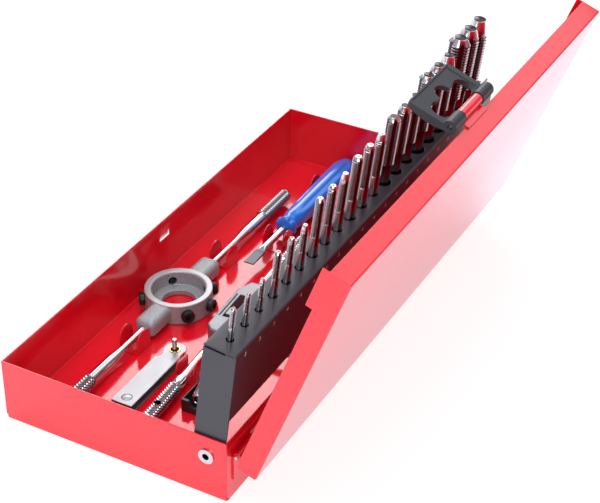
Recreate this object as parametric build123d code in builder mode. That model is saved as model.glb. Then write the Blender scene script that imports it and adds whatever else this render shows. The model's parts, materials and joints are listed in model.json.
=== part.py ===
from build123d import *
from math import cos, radians, sin
import os

# Tap and die storage drawer: a folded steel tray with a hinged lid, a tip-up tap rack,
# and the tools that the tray holds. Millimetres. X runs along the tray, +Y is the hinge
# side, +Z is up, and the origin is the centre of the tray's underside. The lid stands
# open and the rack stands up, as in use.

# ---------------------------------------------------------------- driving dimensions
# Tray
tray_length = 300.0
tray_width = 130.0
tray_height = 36.0
tray_sheet = 0.8
tray_bend = 1.0                # outside radius of the bends at the floor
corner_relief = 2.6            # notch at the foot of each bent corner
corner_relief_width = 1.2

# Catch louver pressed out of the front wall
louver_width = 12.0
louver_top = 32.5
louver_bottom = 23.2
louver_depth = 1.6

# Lid
lid_sheet = 0.8
lid_front_gap = 1.2            # between the tray's long walls and the lid's flanges
lid_end_gap = 0.5
lid_rim_gap = 3.2              # between the tray's rim and the lid's panel
lid_flange = 11.0
lid_bend = 1.0
lid_open_angle = 110.0
tab_length = 23.0              # deeper corner tabs on the end flanges
tab_drop = 3.5

# Piano hinge
hinge_height = 26.0
hinge_set_back = 2.7           # from the back wall's outer face to the pin's axis
hinge_length = 290.0
hinge_sheet = 0.8
knuckle_radius = 1.7
knuckle_count = 15
knuckle_gap = 0.4
pin_radius = 0.8
pin_gap = 0.05
pin_overhang = 1.2
base_leaf_drop = 15.0
lid_leaf_rise = 9.0
lid_leaf_gap = 0.4             # between the lid leaf and the tray's knuckles

# Tap rack
rack_width = 17.3
rack_sheet = 1.0
rack_bend = 1.2                # outside radius of the two long bends
rack_top = 65.0                # from the pivot to the rack's top face
rack_skirt = 40.0              # how far the long sides reach down from the top
rack_lean = 6.7
rack_end_gap = 0.6
flap_slot_height = 0.9         # the open fold at the top of each end flap
flap_slot_width = 11.5
rack_wall_gap = 0.3            # between the leaning rack and the back wall
pivot_height = 24.6
rivet_radius = 2.1
rivet_bore = 1.7
rivet_head_radius = 4.1
rivet_head = 0.9
rivet_tail_radius = 3.3
rivet_gap = 0.1
rivet_end_play = 0.3
shelf_sheet = 1.0
shelf_lip = 6.0
tap_depth = 29.4               # how much of every tap is inside the rack
seat_gap = 0.2

# Taps: name, thread, shank, square, exposed length, threaded length, flutes
tap_near_margin = 8.0          # from the near end flap to the first tap
tap_far_margin = 23.2          # from the far end flap to the last tap
taps_per_size = 3
tap_hole_gap = 0.35
tap_table = [
    ("taps_m3", 3.0, 3.15, 2.5, 18.6, 11.0, 3),
    ("taps_m4", 4.0, 4.0, 3.15, 26.0, 15.0, 3),
    ("taps_m5", 5.0, 5.0, 4.0, 34.0, 22.0, 3),
    ("taps_m6", 6.0, 6.3, 5.0, 36.8, 25.0, 3),
    ("taps_m8", 8.0, 6.3, 5.0, 40.5, 29.0, 4),
    ("taps_m10", 10.0, 8.0, 6.3, 46.5, 34.0, 4),
    ("taps_m12", 12.4, 9.0, 7.1, 51.5, 38.0, 4),
]
square_length = 8.0
tip_leads = (1.5, 3.2, 6.0)    # lead of the bottoming, second and taper tap, in pitches

# Latch on the lid's front flange
latch_plate_sheet = 1.0
latch_plate_width = 22.4
latch_plate_lap = 2.0          # how far the plate laps the lid's flange
latch_plate_reach = 1.0        # how far it stands past the flange's edge
barrel_radius = 3.0
barrel_length = 20.4
barrel_drop = 1.7              # below the lid hinge's axis, with the lid shut
latch_pin_radius = 1.2
latch_pin_gap = 0.08
latch_gap = 0.3
flap_width = 45.6
flap_reach = 23.4              # from the barrel's axis to the flap's free edge
flap_thickness = 3.2
flap_corner = 1.5
flap_rim = 1.2
flap_field = 0.5
skirt_width = 3.6
skirt_depth = 4.7              # of the flap's sides, at their deepest
window_middle = 13.5           # the window's three lobes, from the barrel's axis
window_middle_radius = 5.4
window_side = 12.8
window_low = 8.8
window_side_radius = 5.7
ear_radius = 3.6
ear_stand_out = 0.4            # of the flap's outer face beyond the barrel's axis
spring_bar_radius = 0.9
spring_bar_down = 3.8          # from the barrel's axis towards the free edge
spring_bar_overhang = 8.0

# Die stock
die_bore_radius = 15.0
die_ring_radius = 19.0
die_ring_height = 12.0
die_ledge = 3.2
die_ledge_radius = 9.5
stock_x = 25.0
stock_y = -40.0
rest_gap = 0.3                 # under every loose tool
boss_reach = 36.0
boss_width = 12.5
boss_height = 10.6
boss_round = 3.4
rod_radius = 2.1
rod_thick_radius = 3.2
grip_radius = 3.9
grip_length = 31.0
grip_round = 1.0
near_grip_start = 86.0
far_grip_start = 93.0
rod_thick_length = 18.0
rod_cone_length = 12.0
rod_seat = 12.0                # how far each rod goes into its boss
stock_screw_angles = (46.0, 93.0, 140.0, -53.0, -135.0)
screw_radius = 2.5
screw_head_radius = 3.7
screw_head_length = 3.2
screw_tip_reach = 15.1         # from the ring's axis to the tip
screw_tip_length = 1.6
screw_tip_radius = 1.5
screw_gap = 0.05
socket_radius = 1.5
socket_depth = 2.0

# Spring clips on the tray floor
clip_sheet = 0.8
clip_length = 12.6
clip_height = 13.2
stock_clip_gap = 10.4
stock_clip_near = 69.6
stock_clip_far = -24.2
driver_clip_gap = 12.0
driver_clip_near = -53.4
handle_clip_gap = 17.0
handle_clip_at = -117.0
wrench_clip_gap = 9.4
wrench_clip_at = 77.0

# Screwdriver
driver_y = -20.6
driver_tip = -19.5
blade_length = 18.5
blade_width = 6.2
blade_tip_thickness = 0.8
shank_radius = 2.2
driver_flange_at = -62.0
driver_flange_length = 5.0
driver_flange_radius = 6.8
driver_neck_radius = 4.9
driver_neck_length = 8.0
handle_radius = 7.4
handle_end = -147.2
handle_flutes = 6
flute_radius = 1.5
flute_depth = 0.8
flute_run_out = 6.0
handle_round = 14.0            # length of the handle's rounded end
handle_swell = 8.0             # how far the handle's waist is from its middle
blade_tang = 25.0              # how far the blade reaches into the handle

# Thread gauge on its post
gauge_x = 67.2
gauge_y = -16.2
gauge_length = 51.3            # from the far eyelet to the near end
gauge_width = 12.4
gauge_head_radius = 6.2
gauge_height = 5.4
gauge_cheek = 0.7
gauge_step = 2.4               # shoulder where the head narrows
gauge_pivot_inset = 5.2
leaf_count = 6
leaf_sheet = 0.45
leaf_pitch = 0.62
leaf_width = 8.4
eyelet_radius = 3.1
eyelet_hole = 2.7
leaf_hole_gap = 0.05
leaf_start = 0.1               # from the cheek to the first leaf
eyelet_bore = 2.3
eyelet_flange = 0.3
post_radius = 1.3
post_height = 12.6
post_round = 0.5

# Adjustable tap wrench
wrench_x = 22.0
wrench_y = -3.4
wrench_turn = 3.2              # degrees, about Z
wrench_body_length = 50.0
wrench_body_width = 16.6
wrench_body_height = 9.6
wrench_end_taper = 9.0
wrench_end_width = 8.6
wrench_window_length = 22.0
wrench_window_width = 8.0
wrench_groove = 0.5
wrench_groove_inset = 2.4
wrench_chamfer = 0.8
wrench_rod_gap = 0.08
wrench_grip_radius = 3.9
wrench_rod_radius = 2.4
wrench_swell_radius = 3.3
wrench_neck = 22.0
wrench_swell = 8.0
wrench_grip_start = 72.0       # from the body's centre
wrench_grip_length = 30.0
wrench_cross_hole = 1.7
wrench_cross_at = 90.5
fixed_handle_end = 82.0
fixed_grip_length = 26.0
fixed_grip_radius = 3.4
jaw_screw_reach = 2.4          # how far the handle's end stands into the window
jaw_length = 7.0
jaw_gap = 0.2

# Tap chuck with a sliding cross bar, in its holder under the rack
chuck_y = 17.6
chuck_nose_at = 100.0
chuck_nose_radius = 3.2
chuck_cone_radius = 6.6
chuck_cone_length = 14.5
chuck_groove_radius = 5.7
chuck_band = 2.2
chuck_body_radius = 6.0
chuck_body_length = 44.0
chuck_mouth_radius = 1.9
chuck_mouth_depth = 9.0
bar_rod_radius = 2.2
bar_end_gap = 5.6              # from the bar's knob to the tray's back wall
bar_rod_inset = 8.0            # from the body's end to the cross bar
bar_slide_gap = 0.08
bar_ball_radius = 3.0
bar_ball_length = 2.5
bar_stand_out = 1.5            # of the bar's free end beyond the chuck's body
holder_end = 103.0
holder_length = 34.0
holder_width = 15.6
holder_height = 7.4
holder_wall = 2.0
holder_gap = 0.3
holder_floor = 0.4             # under the chuck's fattest band

# ---------------------------------------------------------------- worked-out places
half_length = tray_length / 2
half_width = tray_width / 2
inner_half_length = half_length - tray_sheet
inner_half_width = half_width - tray_sheet
floor = tray_sheet
hinge_y = half_width + hinge_set_back
lid_inner_half = half_width + lid_front_gap
lid_outer_half = lid_inner_half + lid_sheet
lid_inner_end = half_length + lid_end_gap
lid_outer_end = lid_inner_end + lid_sheet
lid_top = tray_height + lid_rim_gap + lid_sheet
lid_foot = lid_top - lid_flange

rack_half = rack_width / 2
lean_cos = cos(radians(rack_lean))
lean_sin = sin(radians(rack_lean))
# the rack's back face leans on the back wall's rim
pivot_y = (
    inner_half_width
    - rack_wall_gap
    - rack_half / lean_cos
    - (tray_height - pivot_height) * lean_sin / lean_cos
)
rack_outer_end = inner_half_length - rack_end_gap
rack_inner_end = rack_outer_end - rack_sheet

# the lid's own plane: its local Z is the closed lid's +Z, about the hinge's axis
lid_plane = Plane(
    origin=(0, hinge_y, hinge_height),
    x_dir=(1, 0, 0),
    z_dir=(0, sin(radians(lid_open_angle)), cos(radians(lid_open_angle))),
)
# the rack's own plane: its local Z runs up the rack from the pivot
rack_plane = Plane(
    origin=(0, pivot_y, pivot_height), x_dir=(1, 0, 0), z_dir=(0, lean_sin, lean_cos)
)
# the rack's cross-section, looking along X
rack_section = Plane(
    origin=(0, pivot_y, pivot_height), x_dir=(0, lean_cos, -lean_sin), z_dir=(1, 0, 0)
)

LOW = (Align.CENTER, Align.CENTER, Align.MIN)
parts = []


def finish(node, label):
    """Labels a finished piece and keeps it for writing."""
    node.part.label = label
    parts.append(node.part)


def lid_level(height):
    """The lid's plane at a height measured with the lid shut."""
    return lid_plane.offset(height - hinge_height)


def lid_section(x):
    """A cross-section plane of the lid at x, in the shut lid's Y and Z from the hinge."""
    return Plane(
        origin=(x, hinge_y, hinge_height), x_dir=lid_plane.y_dir, z_dir=(1, 0, 0)
    )


# ---------------------------------------------------------------- tray
with BuildPart() as base_tray:
    with BuildSketch():
        Rectangle(tray_length, tray_width)
    extrude(amount=tray_height)
    fillet(base_tray.faces().sort_by(Axis.Z)[0].edges(), tray_bend)
    with BuildSketch(Plane.XY.offset(floor)):
        Rectangle(2 * inner_half_length, 2 * inner_half_width)
    extrude(amount=tray_height, mode=Mode.SUBTRACT)
    # relief notches at the feet of the four corners
    with BuildSketch():
        with GridLocations(tray_length, tray_width, 2, 2):
            Rectangle(2 * corner_relief_width, 2 * tray_sheet)
    extrude(amount=corner_relief, mode=Mode.SUBTRACT)
    # rivet holes for the rack, one in each end wall
    with BuildSketch(Plane.YZ.offset(-half_length)):
        with Locations((pivot_y, pivot_height)):
            Circle(rivet_radius)
    extrude(amount=tray_length, mode=Mode.SUBTRACT)
    # the catch: a louver pushed out of the front wall, open at its lower edge
    with BuildSketch(Plane.YZ.offset(-louver_width / 2)):
        with BuildLine():
            Polyline(
                (-half_width, louver_top),
                (-half_width - louver_depth, louver_bottom),
                (-inner_half_width - louver_depth, louver_bottom),
                (-inner_half_width, louver_top),
                close=True,
            )
        make_face()
    extrude(amount=louver_width)
    with BuildSketch(Plane.YZ.offset(-louver_width / 2 + tray_sheet)):
        with BuildLine():
            Polyline(
                (-inner_half_width, louver_top - tray_sheet),
                (-inner_half_width - louver_depth, louver_bottom),
                (-inner_half_width, louver_bottom),
                close=True,
            )
        make_face()
    extrude(amount=louver_width - 2 * tray_sheet, mode=Mode.SUBTRACT)
finish(base_tray, "base_tray")

# ---------------------------------------------------------------- lid
with BuildPart() as lid:
    with BuildSketch(lid_level(lid_foot)):
        with Locations((0, -hinge_y)):
            Rectangle(2 * lid_outer_end, 2 * lid_outer_half)
    extrude(amount=lid_flange)
    lid_up = Axis(lid_plane.origin, lid_plane.z_dir)
    fillet(lid.faces().sort_by(lid_up)[-1].edges(), lid_bend)
    with BuildSketch(lid_level(lid_foot)):
        with Locations((0, -hinge_y)):
            Rectangle(2 * lid_inner_end, 2 * lid_inner_half)
    extrude(amount=lid_flange - lid_sheet, mode=Mode.SUBTRACT)
    # deeper tabs beside the two front corners
    with BuildSketch(lid_level(lid_foot - tab_drop)):
        for side in (-1, 1):
            middle = side * (lid_inner_end + lid_outer_end) / 2
            with Locations((middle, -hinge_y - lid_outer_half + tab_length / 2)):
                Rectangle(lid_sheet, tab_length)
    extrude(amount=tab_drop)
finish(lid, "lid")

# ---------------------------------------------------------------- piano hinge
knuckle_pitch = hinge_length / knuckle_count
leaf_top = hinge_height - knuckle_radius + hinge_sheet
base_leaf_height = leaf_top - (hinge_height - base_leaf_drop)

with BuildPart() as hinge_leaf_base:
    with BuildSketch(Plane.YZ.offset(-hinge_length / 2)):
        with Locations((half_width + hinge_sheet / 2, leaf_top - base_leaf_height / 2)):
            Rectangle(hinge_sheet, base_leaf_height)
    extrude(amount=hinge_length)
    for number in range(0, knuckle_count, 2):
        start = -hinge_length / 2 + number * knuckle_pitch
        with BuildSketch(Plane.YZ.offset(start + knuckle_gap / 2)):
            with Locations((hinge_y, hinge_height)):
                Circle(knuckle_radius)
            with Locations(((half_width + hinge_y) / 2, leaf_top - hinge_sheet / 2)):
                Rectangle(hinge_set_back, hinge_sheet)
            with Locations((hinge_y, hinge_height)):
                Circle(pin_radius + pin_gap, mode=Mode.SUBTRACT)
        extrude(amount=knuckle_pitch - knuckle_gap)
finish(hinge_leaf_base, "hinge_leaf_base")

lid_leaf_foot = knuckle_radius + lid_leaf_gap
lid_leaf_y = lid_outer_half + hinge_sheet / 2 - hinge_y
with BuildPart() as hinge_leaf_lid:
    with BuildSketch(lid_section(-hinge_length / 2)):
        with Locations((lid_leaf_y, lid_leaf_foot + lid_leaf_rise / 2)):
            Rectangle(hinge_sheet, lid_leaf_rise)
    extrude(amount=hinge_length)
    for number in range(1, knuckle_count, 2):
        start = -hinge_length / 2 + number * knuckle_pitch
        with BuildSketch(lid_section(start + knuckle_gap / 2)):
            Circle(knuckle_radius)
            with Locations((lid_leaf_y, lid_leaf_foot / 2)):
                Rectangle(hinge_sheet, lid_leaf_foot)
            Circle(pin_radius + pin_gap, mode=Mode.SUBTRACT)
        extrude(amount=knuckle_pitch - knuckle_gap)
finish(hinge_leaf_lid, "hinge_leaf_lid")

with BuildPart() as hinge_pin:
    with BuildSketch(Plane.YZ.offset(-hinge_length / 2 - pin_overhang)):
        with Locations((hinge_y, hinge_height)):
            Circle(pin_radius)
    extrude(amount=hinge_length + 2 * pin_overhang)
finish(hinge_pin, "hinge_pin")

# ---------------------------------------------------------------- tap rack
tap_count = taps_per_size * len(tap_table)
tap_first = rack_inner_end - tap_near_margin
tap_pitch = (2 * rack_inner_end - tap_near_margin - tap_far_margin) / (tap_count - 1)
tap_places = [tap_first - number * tap_pitch for number in range(tap_count)]

with BuildPart() as tap_rack:
    # top and two long sides, folded from one sheet
    with BuildSketch(rack_section.offset(-rack_outer_end)) as rack_outline:
        with Locations((0, rack_top - rack_skirt / 2)):
            Rectangle(rack_width, rack_skirt)
        fillet(rack_outline.vertices().sort_by(Axis.Y)[-2:], rack_bend)
        with Locations((0, rack_top - rack_sheet - rack_skirt / 2)):
            Rectangle(rack_width - 2 * rack_sheet, rack_skirt, mode=Mode.SUBTRACT)
    extrude(amount=2 * rack_outer_end)
    # end flaps down to the pivots, with round feet
    for start in (-rack_outer_end, rack_inner_end):
        with BuildSketch(rack_section.offset(start)):
            with Locations((0, (rack_top - rack_bend) / 2)):
                Rectangle(rack_width, rack_top - rack_bend)
            Circle(rack_half)
            Circle(rivet_radius + rivet_gap, mode=Mode.SUBTRACT)
        extrude(amount=rack_sheet)
    # the open fold at the top of both end flaps
    with BuildSketch(rack_section.offset(-rack_outer_end)):
        with Locations(
            (
                (flap_slot_width - rack_width) / 2,
                rack_top - rack_bend - flap_slot_height / 2,
            )
        ):
            Rectangle(flap_slot_width, flap_slot_height)
    extrude(amount=rack_sheet, mode=Mode.SUBTRACT)
    mirror(about=Plane.YZ, mode=Mode.INTERSECT)
    # one hole for each tap
    with BuildSketch(rack_plane.offset(rack_top - rack_sheet)):
        for number, place in enumerate(tap_places):
            size = tap_table[number // taps_per_size]
            with Locations((place, 0)):
                Circle(max(size[1], size[2]) / 2 + tap_hole_gap)
    extrude(amount=rack_sheet, mode=Mode.SUBTRACT)
finish(tap_rack, "tap_rack")

shelf_top = rack_top - tap_depth - seat_gap
shelf_width = rack_width - 2 * rack_sheet
with BuildPart() as rack_shelf:
    with BuildSketch(rack_section.offset(-rack_inner_end)):
        with Locations((0, shelf_top - shelf_lip / 2)):
            Rectangle(shelf_width, shelf_lip)
        with Locations((0, shelf_top - shelf_sheet - shelf_lip / 2)):
            Rectangle(shelf_width - 2 * shelf_sheet, shelf_lip, mode=Mode.SUBTRACT)
    extrude(amount=2 * rack_inner_end)
finish(rack_shelf, "rack_shelf")

# tubular rivets through the end walls and the flaps' feet
rivet_inner_end = rack_inner_end - rivet_end_play
rivet_reach = half_length - rivet_inner_end
with BuildPart() as rack_rivets:
    for side in (-1, 1):
        axis_plane = Plane(
            origin=(side * half_length, pivot_y, pivot_height),
            x_dir=(0, 1, 0),
            z_dir=(side, 0, 0),
        )
        with BuildSketch(axis_plane):
            Circle(rivet_head_radius)
        extrude(amount=rivet_head)
        with BuildSketch(axis_plane):
            Circle(rivet_radius)
        extrude(amount=-rivet_reach)
        with BuildSketch(axis_plane.offset(-rivet_reach)):
            Circle(rivet_tail_radius)
        extrude(amount=-rivet_head)
        with BuildSketch(axis_plane.offset(rivet_head)):
            Circle(rivet_bore)
        extrude(amount=-rivet_reach - 2 * rivet_head, mode=Mode.SUBTRACT)
finish(rack_rivets, "rack_rivets")

# ---------------------------------------------------------------- taps
tap_foot = rack_top - tap_depth


def tap_set(label, thread, shank, square, exposed, threaded, flutes, places):
    """Three taps of one size: squared shank, fluted thread and a chamfered lead."""
    length = tap_depth + exposed
    with BuildPart() as taps:
        for place, lead in zip(places, tip_leads):
            lead_length = lead * thread / 6 + 0.4
            origin = rack_plane.from_local_coords((place, 0, tap_foot))
            with Locations(Plane(origin=origin, x_dir=(1, 0, 0), z_dir=rack_plane.z_dir)):
                Box(square, square, square_length, align=LOW)
                with Locations((0, 0, square_length)):
                    Cylinder(shank / 2, length - threaded - square_length, align=LOW)
                with Locations((0, 0, length - threaded)):
                    Cylinder(thread / 2, threaded - lead_length, align=LOW)
                with Locations((0, 0, length - lead_length)):
                    Cone(thread / 2, thread * 0.3, lead_length, align=LOW)
                with Locations((0, 0, length - threaded - thread * 0.4)):
                    with PolarLocations(thread * 0.52, flutes):
                        Cylinder(
                            thread * 0.2, length, align=LOW, mode=Mode.SUBTRACT
                        )
    finish(taps, label)


for index, (label, thread, shank, square, exposed, threaded, flutes) in enumerate(tap_table):
    first = index * taps_per_size
    places = tap_places[first:first + taps_per_size]
    tap_set(label, thread, shank, square, exposed, threaded, flutes, places)

# ---------------------------------------------------------------- latch
# shut-lid places, from the lid hinge's axis
flange_face = -lid_outer_half - hinge_y
barrel_y = flange_face - barrel_radius
barrel_z = -barrel_drop
plate_top = lid_foot - hinge_height + latch_plate_lap
plate_foot = lid_foot - hinge_height - latch_plate_reach
plate_y = flange_face - latch_plate_sheet / 2

with BuildPart() as latch_plate:
    with BuildSketch(lid_section(-latch_plate_width / 2)):
        with Locations((plate_y, (plate_top + plate_foot) / 2)):
            Rectangle(latch_plate_sheet, plate_top - plate_foot)
    extrude(amount=latch_plate_width)
    with BuildSketch(lid_section(-barrel_length / 2)):
        with Locations((barrel_y, barrel_z)):
            Circle(barrel_radius)
        with Locations((plate_y, (barrel_z + plate_foot) / 2)):
            Rectangle(latch_plate_sheet, plate_foot - barrel_z)
        with Locations((barrel_y, barrel_z)):
            Circle(latch_pin_radius + pin_gap, mode=Mode.SUBTRACT)
    extrude(amount=barrel_length)
finish(latch_plate, "latch_plate")

with BuildPart() as latch_pin:
    with BuildSketch(lid_section(-flap_width / 2 + 2)):
        with Locations((barrel_y, barrel_z)):
            Circle(latch_pin_radius)
    extrude(amount=flap_width - 4)
finish(latch_pin, "latch_pin")

ear_inner = barrel_length / 2 + latch_gap
ear_length = flap_width / 2 - ear_inner
flap_outer_y = barrel_y - ear_stand_out
flap_inner_y = flap_outer_y + flap_thickness
flap_head = barrel_radius + latch_gap
bar_y = (flap_outer_y + flap_inner_y) / 2
bar_z = barrel_z - spring_bar_down
# the flap seen from outside: the plane's local Y runs from the barrel to the free edge
flap_front = Plane(
    origin=lid_plane.from_local_coords((0, flap_outer_y, barrel_z)),
    x_dir=(1, 0, 0),
    z_dir=lid_plane.y_dir,
)
with BuildPart() as latch_flap:
    with BuildSketch(flap_front):
        with Locations((0, (flap_head + flap_reach) / 2)):
            RectangleRounded(flap_width, flap_reach - flap_head, flap_corner)
    extrude(amount=flap_thickness)
    # a shallow field inside a raised rim
    with BuildSketch(flap_front):
        with Locations((0, (flap_head + flap_reach) / 2)):
            RectangleRounded(
                flap_width - 2 * flap_rim, flap_reach - flap_head - 2 * flap_rim, flap_corner
            )
    extrude(amount=flap_field, mode=Mode.SUBTRACT)
    # a three-lobed window, open towards the barrel
    with BuildSketch(flap_front):
        with Locations((0, window_middle)):
            Circle(window_middle_radius)
        with Locations((-window_side, window_low), (window_side, window_low)):
            Circle(window_side_radius)
        with Locations((0, window_middle / 2)):
            Rectangle(2 * ear_inner, window_middle)
    extrude(amount=flap_thickness, mode=Mode.SUBTRACT)
    # a deeper skirt and an arm to the ear along each side
    for start in (-flap_width / 2, flap_width / 2 - skirt_width):
        with BuildSketch(lid_section(start)):
            with BuildLine():
                Polyline(
                    (flap_outer_y, barrel_z - flap_reach + flap_corner),
                    (flap_inner_y, barrel_z - flap_reach + flap_corner),
                    (flap_outer_y + skirt_depth, barrel_z - flap_reach * 0.6),
                    (flap_outer_y + skirt_depth, barrel_z - flap_reach * 0.3),
                    (flap_inner_y, barrel_z),
                    (flap_outer_y, barrel_z),
                    close=True,
                )
            make_face()
        extrude(amount=skirt_width)
    # ears on both sides of the barrel
    for start in (ear_inner, -ear_inner - ear_length):
        with BuildSketch(lid_section(start)):
            with Locations((barrel_y, barrel_z)):
                Circle(ear_radius)
        extrude(amount=ear_length)
    with BuildSketch(lid_section(-flap_width / 2)):
        with Locations((barrel_y, barrel_z)):
            Circle(latch_pin_radius + latch_pin_gap)
    extrude(amount=flap_width, mode=Mode.SUBTRACT)
    # the small bar's hole in the far arm
    with BuildSketch(lid_section(-flap_width / 2)):
        with Locations((bar_y, bar_z)):
            Circle(spring_bar_radius)
    extrude(amount=skirt_width, mode=Mode.SUBTRACT)
finish(latch_flap, "latch_flap")

with BuildPart() as latch_bar:
    with BuildSketch(lid_section(-flap_width / 2 - spring_bar_overhang)):
        with Locations((bar_y, bar_z)):
            Circle(spring_bar_radius)
    extrude(amount=spring_bar_overhang + skirt_width)
finish(latch_bar, "latch_bar")

# ---------------------------------------------------------------- clips
def clip(places, gap, label):
    """U-shaped clips: a foot on the tray's floor and two round-topped ears."""
    ear_round = clip_length / 2
    with BuildPart() as clips:
        for x, y, turn in places:
            base = Plane(
                origin=(x, y, floor),
                x_dir=(cos(radians(turn)), sin(radians(turn)), 0),
                z_dir=(0, 0, 1),
            )
            with BuildSketch(base):
                Rectangle(clip_length, gap + 2 * clip_sheet)
            extrude(amount=clip_sheet)
            for side in (-1, 1):
                face = Plane(
                    origin=base.from_local_coords((0, side * gap / 2, 0)),
                    x_dir=base.x_dir,
                    z_dir=base.y_dir * side,
                )
                up = 1 if face.y_dir.Z > 0 else -1
                with BuildSketch(face):
                    with Locations((0, up * (clip_height - ear_round) / 2)):
                        Rectangle(clip_length, clip_height - ear_round)
                    with Locations((0, up * (clip_height - ear_round))):
                        Circle(ear_round)
                    with Locations((0, -up * ear_round)):
                        Rectangle(
                            2 * clip_length, 2 * ear_round, mode=Mode.SUBTRACT
                        )
                extrude(amount=clip_sheet)
    finish(clips, label)


wrench_dir = (cos(radians(wrench_turn)), sin(radians(wrench_turn)))
wrench_clip_y = wrench_y + (wrench_clip_at - wrench_x) * wrench_dir[1] / wrench_dir[0]
clip(
    [(stock_clip_near, stock_y, 0), (stock_clip_far, stock_y, 0)],
    stock_clip_gap,
    "die_stock_clips",
)
clip([(driver_clip_near, driver_y, 0)], driver_clip_gap, "screwdriver_shank_clip")
clip([(handle_clip_at, driver_y, 0)], handle_clip_gap, "screwdriver_handle_clip")
clip([(wrench_clip_at, wrench_clip_y, wrench_turn)], wrench_clip_gap, "wrench_clip")

# ---------------------------------------------------------------- die stock
stock_foot = floor + rest_gap
stock_axis_z = stock_foot + die_ring_height / 2

with BuildPart() as die_stock_body:
    with BuildSketch(Plane.XY.offset(stock_foot)):
        with Locations((stock_x, stock_y)):
            Circle(die_ring_radius)
    extrude(amount=die_ring_height)
    with BuildSketch(Plane.YZ.offset(stock_x - boss_reach)):
        with Locations((stock_y, stock_axis_z)):
            RectangleRounded(boss_width, boss_height, boss_round)
    extrude(amount=2 * boss_reach)
    with BuildSketch(Plane.XY.offset(stock_foot + die_ledge)):
        with Locations((stock_x, stock_y)):
            Circle(die_bore_radius)
    extrude(amount=die_ring_height, mode=Mode.SUBTRACT)
    with BuildSketch(Plane.XY.offset(stock_foot)):
        with Locations((stock_x, stock_y)):
            Circle(die_ledge_radius)
    extrude(amount=die_ledge, mode=Mode.SUBTRACT)
    # seats for the two rods
    for side in (-1, 1):
        with BuildSketch(Plane.YZ.offset(stock_x + side * boss_reach)):
            with Locations((stock_y, stock_axis_z)):
                Circle(rod_radius)
        extrude(amount=-side * rod_seat, mode=Mode.SUBTRACT)
    # radial screw holes
    for angle in stock_screw_angles:
        out = (cos(radians(angle)), sin(radians(angle)), 0)
        with BuildSketch(Plane(origin=(stock_x, stock_y, stock_axis_z), z_dir=out)):
            Circle(screw_radius + screw_gap)
        extrude(amount=die_ring_radius + 1, mode=Mode.SUBTRACT)
finish(die_stock_body, "die_stock_body")

with BuildPart() as die_stock_screws:
    for angle in stock_screw_angles:
        out = Vector(cos(radians(angle)), sin(radians(angle)), 0)
        centre = Vector(stock_x, stock_y, stock_axis_z)
        with Locations(Plane(origin=centre + out * screw_tip_reach, z_dir=out)):
            Cone(screw_tip_radius, screw_radius, screw_tip_length, align=LOW)
            with Locations((0, 0, screw_tip_length)):
                Cylinder(
                    screw_radius,
                    die_ring_radius - screw_tip_reach - screw_tip_length + screw_gap,
                    align=LOW,
                )
            with Locations((0, 0, die_ring_radius - screw_tip_reach + screw_gap)):
                Cylinder(screw_head_radius, screw_head_length, align=LOW)
            with Locations(
                (0, 0, die_ring_radius - screw_tip_reach + screw_head_length - socket_depth)
            ):
                Cylinder(socket_radius, socket_depth + 1, align=LOW, mode=Mode.SUBTRACT)
finish(die_stock_screws, "die_stock_screws")


def stock_handle(side, grip_start, label):
    """A die stock handle: thin rod, cone, thicker rod and a knurled grip."""
    outline = [
        (boss_reach - rod_seat, 0),
        (boss_reach - rod_seat, rod_radius),
        (grip_start - rod_thick_length - rod_cone_length, rod_radius),
        (grip_start - rod_thick_length, rod_thick_radius),
        (grip_start, rod_thick_radius),
        (grip_start, grip_radius - 0.3),
        (grip_start + 0.6, grip_radius),
        (grip_start + grip_length - grip_round, grip_radius),
        (grip_start + grip_length, grip_radius - grip_round),
        (grip_start + grip_length, 0),
    ]
    centre = Vector(stock_x, stock_y, stock_axis_z)
    with BuildPart() as handle:
        with BuildSketch(Plane(origin=centre, x_dir=(side, 0, 0), z_dir=(0, -side, 0))):
            with BuildLine():
                Polyline(*outline, close=True)
            make_face()
        revolve(axis=Axis(centre, (1, 0, 0)))
    finish(handle, label)


stock_handle(1, near_grip_start, "die_stock_handle_near")
stock_handle(-1, far_grip_start, "die_stock_handle_far")

# ---------------------------------------------------------------- screwdriver
driver_z = floor + clip_sheet + rest_gap + handle_radius
driver_axis = Axis((0, driver_y, driver_z), (1, 0, 0))
handle_plane = Plane(origin=(0, driver_y, driver_z), x_dir=(1, 0, 0), z_dir=(0, -1, 0))
flange_end = driver_flange_at - driver_flange_length
neck_end = flange_end - driver_neck_length

with BuildPart() as screwdriver_handle:
    with BuildSketch(handle_plane):
        with BuildLine():
            Polyline(
                (driver_flange_at, 0),
                (driver_flange_at, driver_flange_radius - 1.2),
                (driver_flange_at - 1.2, driver_flange_radius),
                (flange_end + 1.0, driver_flange_radius),
                (flange_end, driver_neck_radius),
                (neck_end, driver_neck_radius + 0.4),
            )
            Spline(
                (neck_end, driver_neck_radius + 0.4),
                ((neck_end + handle_end) / 2 + handle_swell, handle_radius - 0.7),
                (handle_end + handle_round, handle_radius),
                tangents=((-1, 0.12), (-1, 0)),
            )
            Spline(
                (handle_end + handle_round, handle_radius),
                (handle_end, 0),
                tangents=((-1, 0), (0, -1)),
            )
            Line((handle_end, 0), (driver_flange_at, 0))
        make_face()
    revolve(axis=driver_axis)
    with BuildSketch(Plane.YZ.offset(handle_end)):
        with Locations((driver_y, driver_z)):
            with PolarLocations(handle_radius + flute_radius - flute_depth, handle_flutes):
                Circle(flute_radius)
    extrude(amount=neck_end - handle_end - flute_run_out, mode=Mode.SUBTRACT)
    with BuildSketch(Plane.YZ.offset(driver_flange_at)):
        with Locations((driver_y, driver_z)):
            Circle(shank_radius)
    extrude(amount=-blade_tang, mode=Mode.SUBTRACT)
finish(screwdriver_handle, "screwdriver_handle")

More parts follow.
